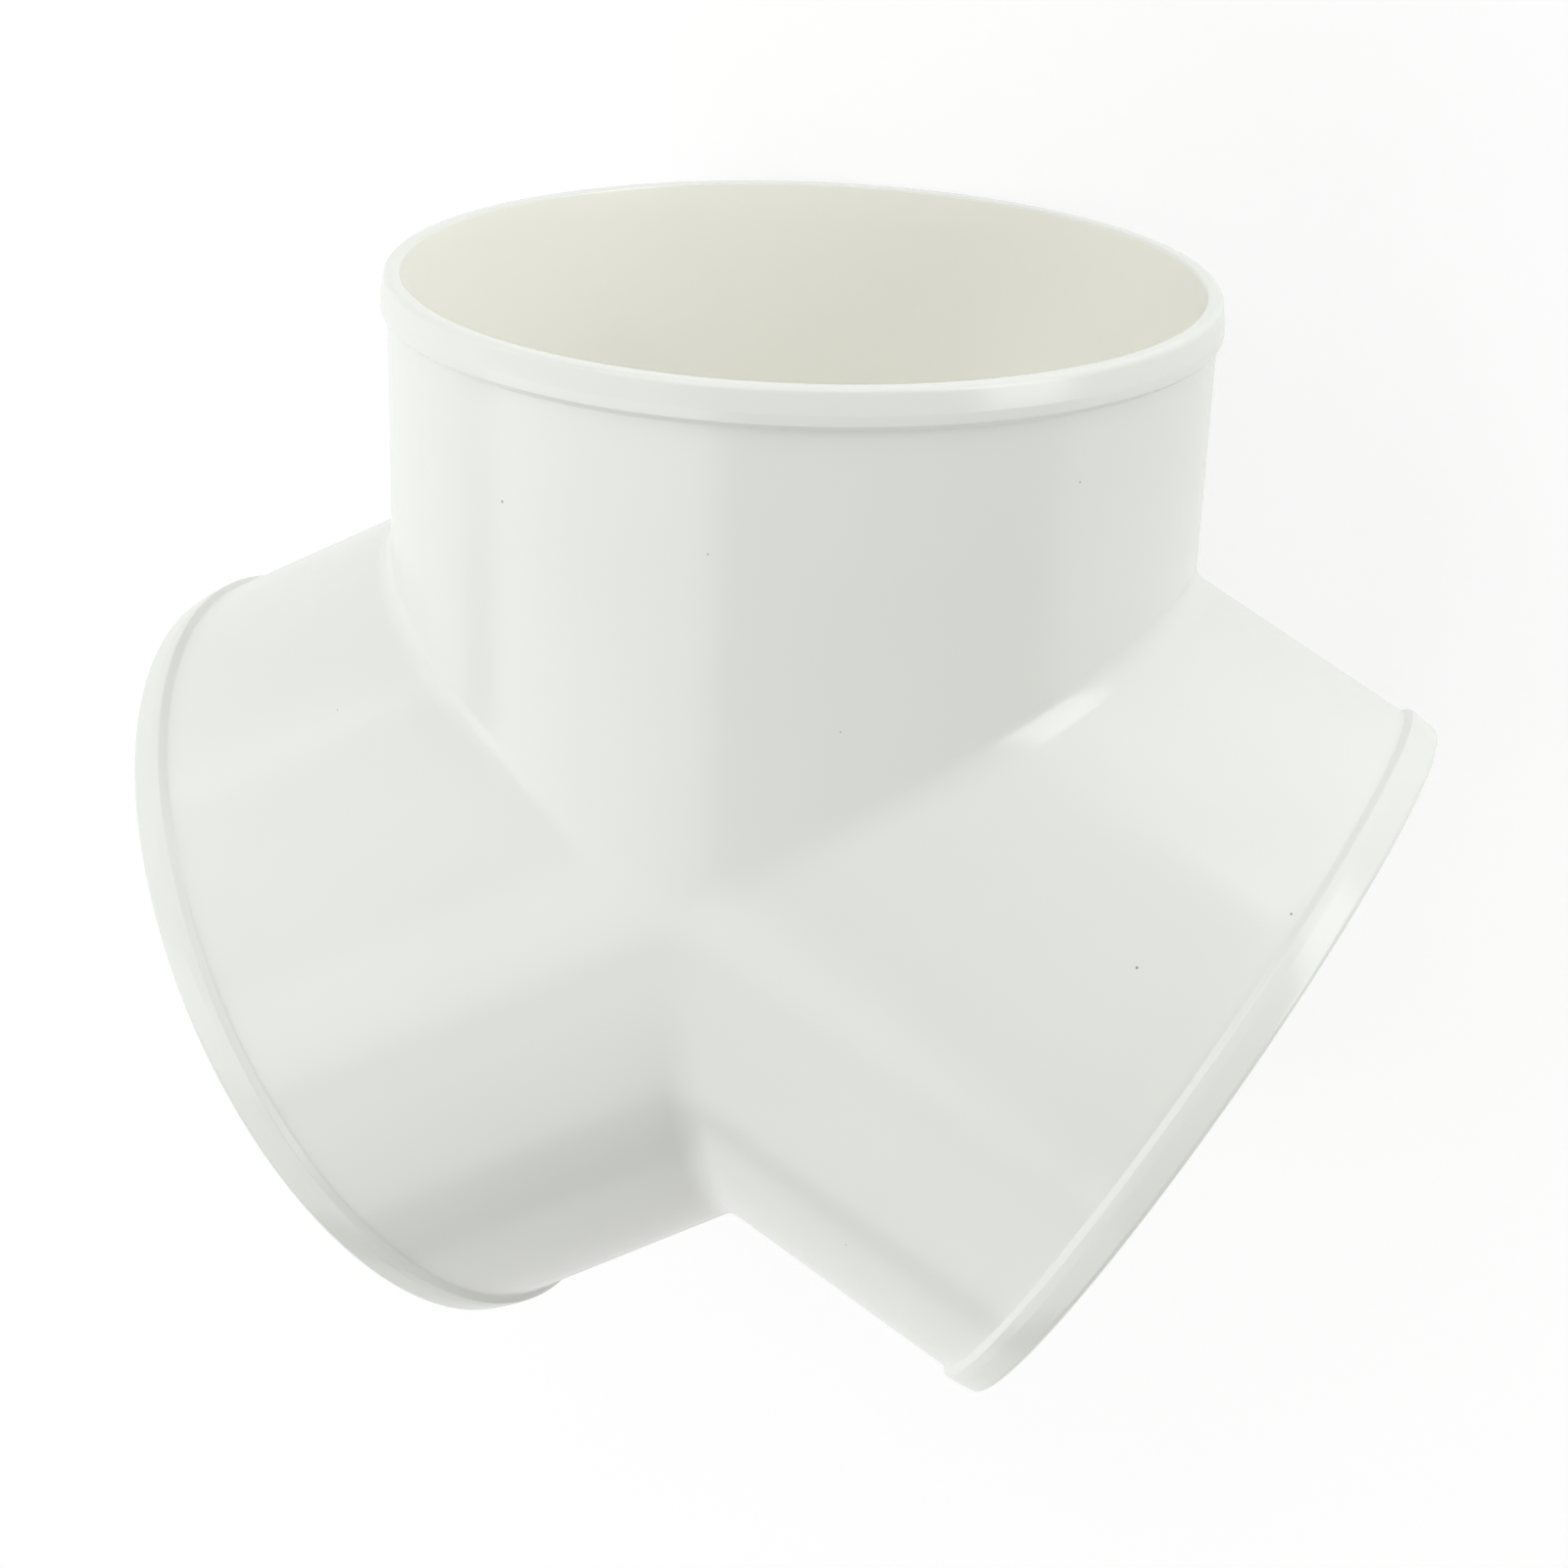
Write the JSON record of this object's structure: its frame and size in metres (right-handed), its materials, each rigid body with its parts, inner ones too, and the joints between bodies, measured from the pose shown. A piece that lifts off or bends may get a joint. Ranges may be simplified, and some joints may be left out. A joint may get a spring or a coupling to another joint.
{
  "type": "duct y branch",
  "caption": "Moulded plastic duct Y branch: equal round collars meet at even angles in one plane, each ending in a low bead that a duct is pushed over.",
  "frame": {"origin": "the point where the axes of the collars meet, which is also the centre of mass", "axes": "+Z square to the plane of the axes, +Y along the stem towards its mouth, +X towards the right-hand branch's side"},
  "size_m": [0.1568, 0.1361, 0.0994],
  "materials": {
    "white_plastic": "moulded off-white plastic with a soft gloss"
  },
  "bodies": {
    "root": {"y_branch_body": "white_plastic"}
  },
  "joints": []
}
